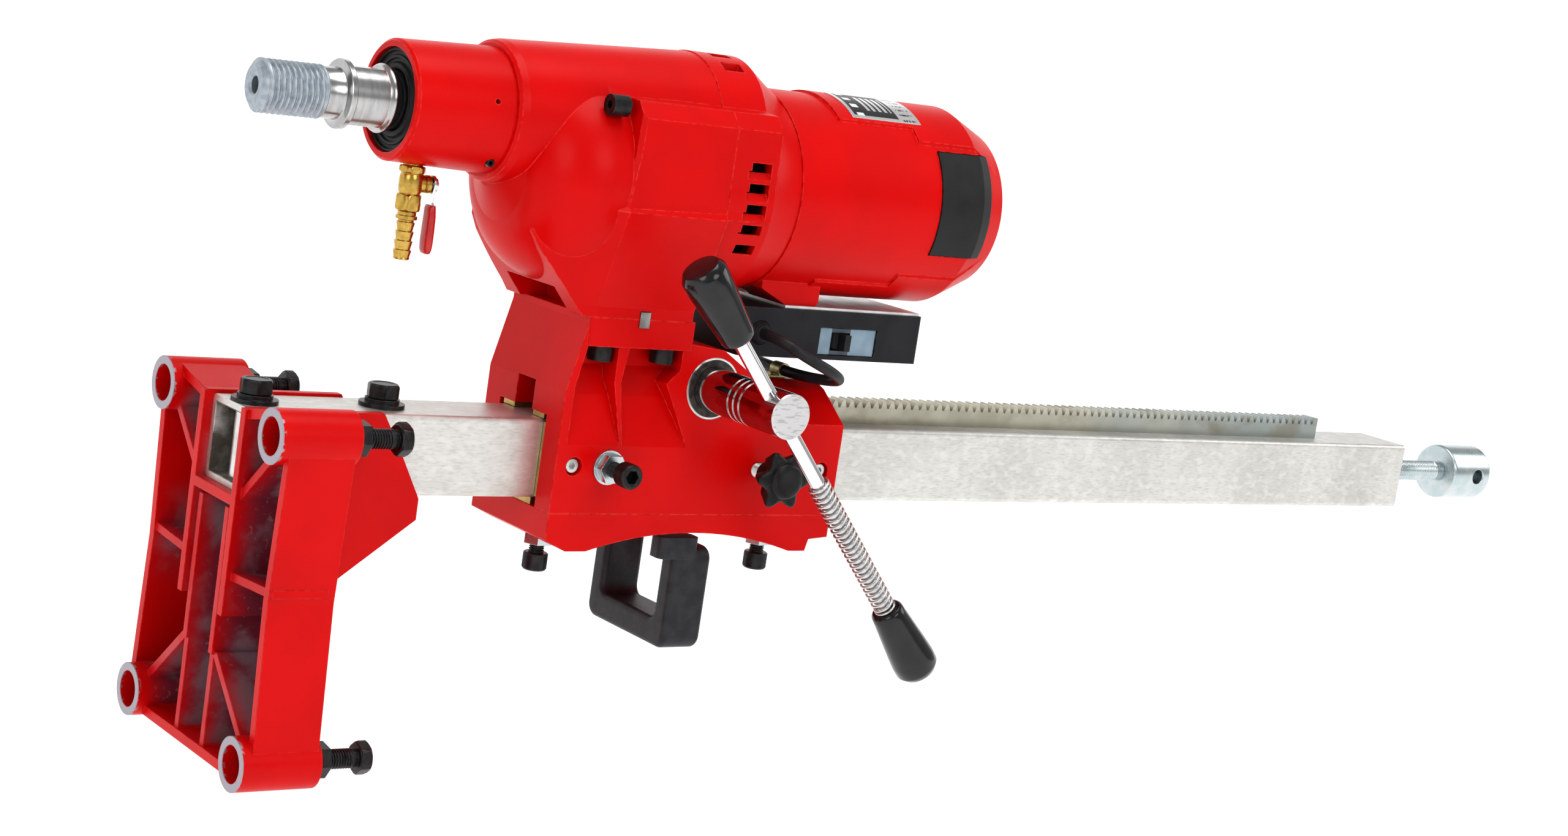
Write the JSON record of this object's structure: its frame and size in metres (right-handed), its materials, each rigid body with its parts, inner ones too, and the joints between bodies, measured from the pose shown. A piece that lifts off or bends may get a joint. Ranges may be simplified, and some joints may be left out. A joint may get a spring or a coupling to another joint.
{
  "type": "core drill rig",
  "caption": "Rack-driven core drill rig: motor, gearbox and threaded spindle on a carriage that a sliding-bar crank feeds along a square column, with a ribbed bolt-down base and a jack screw.",
  "frame": {"origin": "where the column's axis meets the plane of the base's four boss rings", "axes": "+X along the column from the base to the jack screw, +Z from the column towards the drill's spindle and motor, +Y away from the crank's side"},
  "size_m": [1.126, 0.2235, 0.4472],
  "materials": {
    "red_casting": "bright satin red paint",
    "column_steel": "brushed mottled steel",
    "zinc": "yellow-zinc plated steel",
    "blue_zinc": "blue-zinc plated steel",
    "black_oxide": "black-oxide steel, satin",
    "spindle_steel": "ground and phosphated steel",
    "gear_steel": "oiled gear steel",
    "bearing_steel": "ground bearing steel",
    "chrome": "polished chrome",
    "spring_steel": "bright zinc spring wire",
    "knob_plastic": "gloss black",
    "black_plastic": "matt textured black",
    "grey_plastic": "pale blue-grey moulding",
    "handle_plastic": "dark grey textured",
    "pad_bronze": "cast bronze",
    "seal_rubber": "black moulded rubber",
    "lead_rubber": "smooth black sheath",
    "valve_brass": "machined brass",
    "bare_aluminium": "pressed sheet",
    "core_steel": "stacked laminations",
    "carbon": "pressed carbon",
    "label_film": "printed foil",
    "clip_zinc": "yellow-zinc pressed strip",
    "fan_plastic": "moulded fan"
  },
  "bodies": {
    "stand": {"base_plate": "red_casting", "column_tube": "column_steel", "column_washers": "black_oxide", "column_bolts": "black_oxide", "column_spacers": "column_steel", "column_nuts": "black_oxide", "gear_rack": "zinc", "rack_screws": "black_oxide", "levelling_nuts": "black_oxide", "jack_nut_block": "column_steel"},
    "levelling_near_top": {"levelling_screw_near_top": "black_oxide"},
    "levelling_far_top": {"levelling_screw_far_top": "black_oxide"},
    "levelling_near_bottom": {"levelling_screw_near_bottom": "black_oxide"},
    "levelling_far_bottom": {"levelling_screw_far_bottom": "black_oxide"},
    "jack": {"jack_screw": "blue_zinc"},
    "carriage": {"carriage_housing": "red_casting", "lower_plate": "red_casting", "guide_pads": "pad_bronze", "adjuster_screws": "black_oxide", "adjuster_nuts": "blue_zinc", "pad_screws": "black_oxide", "carrying_handle": "handle_plastic", "pinion_bearings": "bearing_steel", "locating_key": "column_steel", "seat_screws": "black_oxide", "spindle_nose": "red_casting", "spindle_seal": "seal_rubber", "spindle_bearings": "bearing_steel", "gearbox_housing": "red_casting", "bearing_plate": "bare_aluminium", "drive_bearings": "bearing_steel", "fan_housing": "red_casting", "motor_housing": "red_casting", "brush_cover_near": "black_plastic", "brush_cover_far": "black_plastic", "carbon_brushes": "carbon", "stator_core": "core_steel", "name_plate": "label_film", "case_screws": "black_oxide", "valve_body": "valve_brass", "switch_bracket": "bare_aluminium", "switch_box": "black_plastic", "breaker_body": "grey_plastic", "cable_glands": "black_plastic", "motor_lead": "lead_rubber", "cable_clip": "clip_zinc"},
    "spindle": {"spindle": "spindle_steel", "spindle_gear": "gear_steel"},
    "layshaft": {"layshaft": "gear_steel"},
    "rotor": {"armature": "core_steel", "cooling_fan": "fan_plastic"},
    "pinion": {"pinion_shaft": "chrome"},
    "crank": {"crank_bar": "chrome", "crank_knob_upper": "knob_plastic", "crank_knob_lower": "knob_plastic", "crank_spring": "spring_steel"},
    "clamp": {"clamp_knob": "knob_plastic", "clamp_stud": "column_steel"},
    "valve": {"valve_lever": "chrome"},
    "toggle": {"breaker_toggle": "black_plastic"}
  },
  "joints": [
    {"name": "levelling_near_top_screw", "type": "slide", "parent": "stand", "child": "levelling_near_top", "axis": [1, 0, 0], "range_m": [-0.018, 0.01]},
    {"name": "levelling_far_top_screw", "type": "slide", "parent": "stand", "child": "levelling_far_top", "axis": [1, 0, 0], "range_m": [-0.018, 0.01]},
    {"name": "levelling_near_bottom_screw", "type": "slide", "parent": "stand", "child": "levelling_near_bottom", "axis": [1, 0, 0], "range_m": [-0.018, 0.01]},
    {"name": "levelling_far_bottom_screw", "type": "slide", "parent": "stand", "child": "levelling_far_bottom", "axis": [1, 0, 0], "range_m": [-0.018, 0.01]},
    {"name": "jack_travel", "type": "slide", "parent": "stand", "child": "jack", "axis": [1, 0, 0], "range_m": [-0.07, 0.06]},
    {"name": "carriage_feed", "type": "slide", "parent": "stand", "child": "carriage", "axis": [1, 0, 0], "range_m": [-0.07, 0.58]},
    {"name": "spindle_spin", "type": "hinge", "parent": "carriage", "child": "spindle", "pos_m": [0, 0, 0.209], "axis": [1, 0, 0], "continuous": true},
    {"name": "layshaft_spin", "type": "hinge", "parent": "carriage", "child": "layshaft", "pos_m": [0.205, 0.03371, 0.17589], "axis": [1, 0, 0], "continuous": true},
    {"name": "rotor_spin", "type": "hinge", "parent": "carriage", "child": "rotor", "pos_m": [0.252, 0, 0.1775], "axis": [1, 0, 0], "continuous": true},
    {"name": "pinion_turn", "type": "hinge", "parent": "carriage", "child": "pinion", "pos_m": [0.317, 0, 0.05225], "axis": [0, 1, 0], "range_deg": [-298, 2463]},
    {"name": "crank_bar_slide", "type": "slide", "parent": "pinion", "child": "crank", "axis": [0.6534, 0, -0.757], "range_m": [-0.042, 0.04]},
    {"name": "clamp_turn", "type": "hinge", "parent": "carriage", "child": "clamp", "pos_m": [0.3615, -0.06, 0], "axis": [0, 1, 0], "range_deg": [-360, 90]},
    {"name": "valve_turn", "type": "hinge", "parent": "carriage", "child": "valve", "pos_m": [0.1085, 0, 0.161], "axis": [1, 0, 0], "range_deg": [0, 90]},
    {"name": "toggle_throw", "type": "hinge", "parent": "carriage", "child": "toggle", "pos_m": [0.418, -0.031, 0.0856], "axis": [0, 0, 1], "range_deg": [-34, 0]}
  ],
  "couplings": [
    {"joint": "layshaft_spin", "follows": "spindle_spin", "ratio": -2.8571},
    {"joint": "rotor_spin", "follows": "spindle_spin", "ratio": 12.571},
    {"joint": "pinion_turn", "follows": "carriage_feed", "rad_per_m": 74.074}
  ]
}
